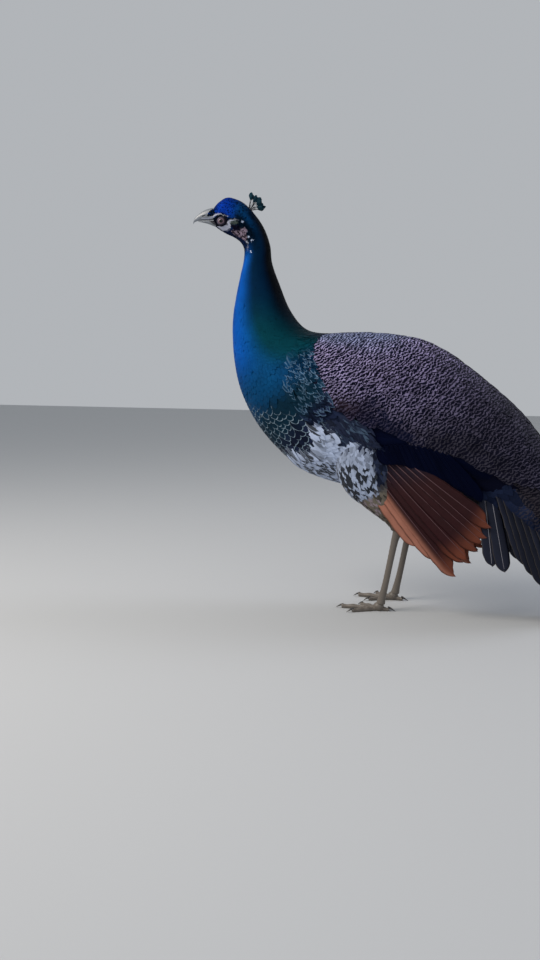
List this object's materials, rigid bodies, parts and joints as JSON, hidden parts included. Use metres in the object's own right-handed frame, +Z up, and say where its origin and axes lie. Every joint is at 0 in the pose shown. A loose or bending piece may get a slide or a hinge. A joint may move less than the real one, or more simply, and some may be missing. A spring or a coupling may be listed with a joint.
{
  "type": "peacock",
  "caption": "Young male Indian peafowl standing, life-size still model: blue neck, barred folded wings, chestnut flight feathers, short dark tail, no train yet.",
  "frame": {"origin": "middle of the whole bird's footprint on the floor, under its body", "axes": "+Z up; the bird faces -Y with its tail towards +Y; its left side is +X"},
  "size_m": [0.187, 0.7084, 0.7309],
  "materials": {
    "blue_plumage": "glossy cobalt to teal feathers",
    "crest_plumes": "bare pale shafts with dark blue-green fans",
    "body_plumage": "teal breast, pale-edged and white belly feathers",
    "thigh_plumage": "soft white and grey feathers",
    "barred_plumage": "blue-black feathers with wavy buff bars",
    "blue_black_plumage": "blue-black feathers with a soft sheen",
    "chestnut_quills": "satin chestnut flight feathers with pale shafts",
    "dark_coverts": "mottled dark brown feathers",
    "tail_quills": "blackish feathers with pale shafts and tips",
    "horn_bill": "satin grey horn",
    "eye": "glossy dark brown",
    "scaly_leg": "grey-brown scaly skin",
    "horn_claw": "satin dark horn"
  },
  "bodies": {
    "root": {"bill_lower": "horn_bill", "bill_upper": "horn_bill", "claw_hind_left": "horn_claw", "claw_hind_right": "horn_claw", "claw_inner_left": "horn_claw", "claw_inner_right": "horn_claw", "claw_middle_left": "horn_claw", "claw_middle_right": "horn_claw", "claw_outer_left": "horn_claw", "claw_outer_right": "horn_claw", "crest": "crest_plumes", "eye_left": "eye", "eye_right": "eye", "head": "blue_plumage", "leg_left": "scaly_leg", "leg_right": "scaly_leg", "neck": "blue_plumage", "outer_tail_left": "tail_quills", "outer_tail_right": "tail_quills", "primaries_left": "chestnut_quills", "primaries_right": "chestnut_quills", "secondaries_left": "blue_black_plumage", "secondaries_right": "blue_black_plumage", "tail_coverts": "dark_coverts", "tail_feathers": "tail_quills", "thigh_left": "thigh_plumage", "thigh_right": "thigh_plumage", "trunk": "body_plumage", "wing_coverts_left": "barred_plumage", "wing_coverts_right": "barred_plumage"}
  },
  "joints": []
}
